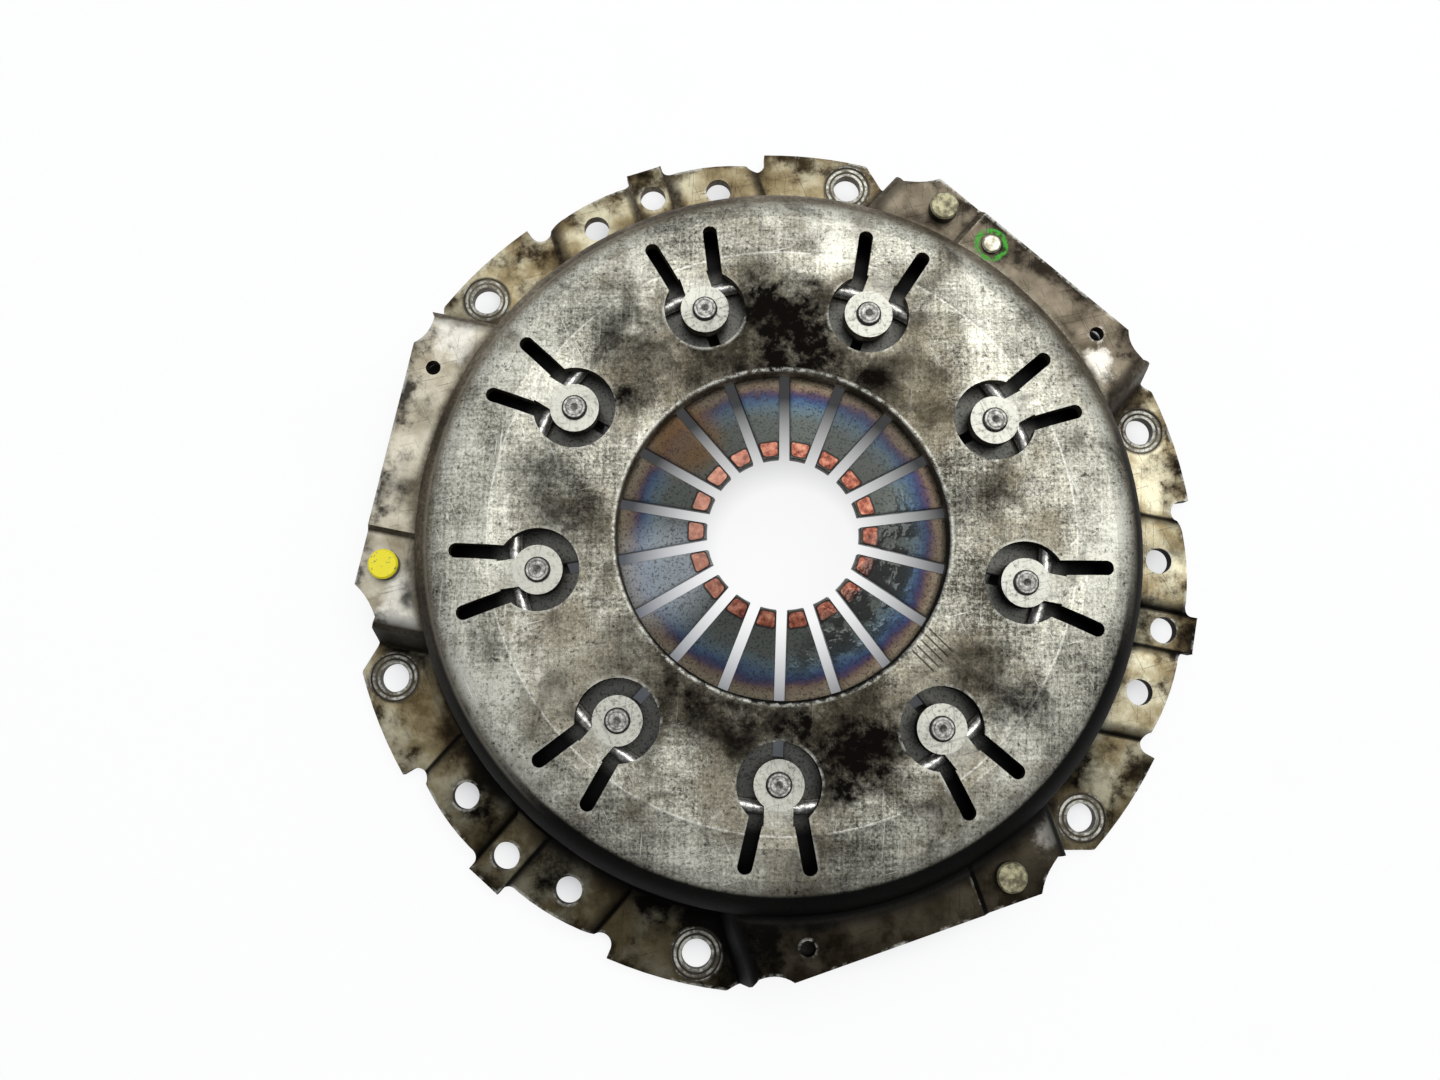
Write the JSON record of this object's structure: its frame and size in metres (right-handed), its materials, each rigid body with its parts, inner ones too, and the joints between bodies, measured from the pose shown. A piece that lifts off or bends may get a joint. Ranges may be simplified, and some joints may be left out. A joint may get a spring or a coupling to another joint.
{
  "type": "clutch pressure plate",
  "caption": "Diaphragm-spring clutch pressure plate: pressed steel cover with stepped flange, riveted spring, cast pressure ring on leaf straps.",
  "frame": {"origin": "centre of the bolt circle on the flange face that meets the flywheel", "axes": "+Z from the flywheel to the gearbox, so the dome is on top; +X through one dowel hole"},
  "size_m": [0.2471, 0.2574, 0.0381],
  "materials": {
    "cover_steel": "pressed sheet, oil stained",
    "spring_steel": "shot peened, heat tinted",
    "wire_steel": "drawn",
    "rivet_steel": "cold headed",
    "ring_iron": "as cast, friction face turned",
    "strap_steel": "rolled"
  },
  "bodies": {
    "cover_body": {"cover": "cover_steel", "diaphragm_spring": "spring_steel", "pivot_ring_upper": "wire_steel", "pivot_ring_lower": "wire_steel", "spacer_rivet_1": "rivet_steel", "spacer_rivet_2": "rivet_steel", "spacer_rivet_3": "rivet_steel", "spacer_rivet_4": "rivet_steel", "spacer_rivet_5": "rivet_steel", "spacer_rivet_6": "rivet_steel", "spacer_rivet_7": "rivet_steel", "spacer_rivet_8": "rivet_steel", "spacer_rivet_9": "rivet_steel", "strap_a_leaf_1": "strap_steel", "strap_a_leaf_2": "strap_steel", "strap_a_leaf_3": "strap_steel", "strap_a_cover_rivet": "rivet_steel", "strap_b_leaf_1": "strap_steel", "strap_b_leaf_2": "strap_steel", "strap_b_leaf_3": "strap_steel", "strap_b_cover_rivet": "rivet_steel", "strap_c_leaf_1": "strap_steel", "strap_c_leaf_2": "strap_steel", "strap_c_leaf_3": "strap_steel", "strap_c_cover_rivet": "rivet_steel", "balance_rivet": "rivet_steel"},
    "ring_body": {"pressure_ring": "ring_iron", "strap_a_ring_rivet": "rivet_steel", "strap_b_ring_rivet": "rivet_steel", "strap_c_ring_rivet": "rivet_steel"}
  },
  "joints": [
    {"name": "ring_lift", "type": "slide", "parent": "cover_body", "child": "ring_body", "axis": [0, 0, 1], "range_m": [0, 0.004], "stiffness_N_per_m": 20000, "springref_m": -0.002, "deforming": ["diaphragm_spring", "strap_a_leaf_1", "strap_a_leaf_2", "strap_a_leaf_3", "strap_b_leaf_1", "strap_b_leaf_2", "strap_b_leaf_3", "strap_c_leaf_1", "strap_c_leaf_2", "strap_c_leaf_3"]}
  ]
}
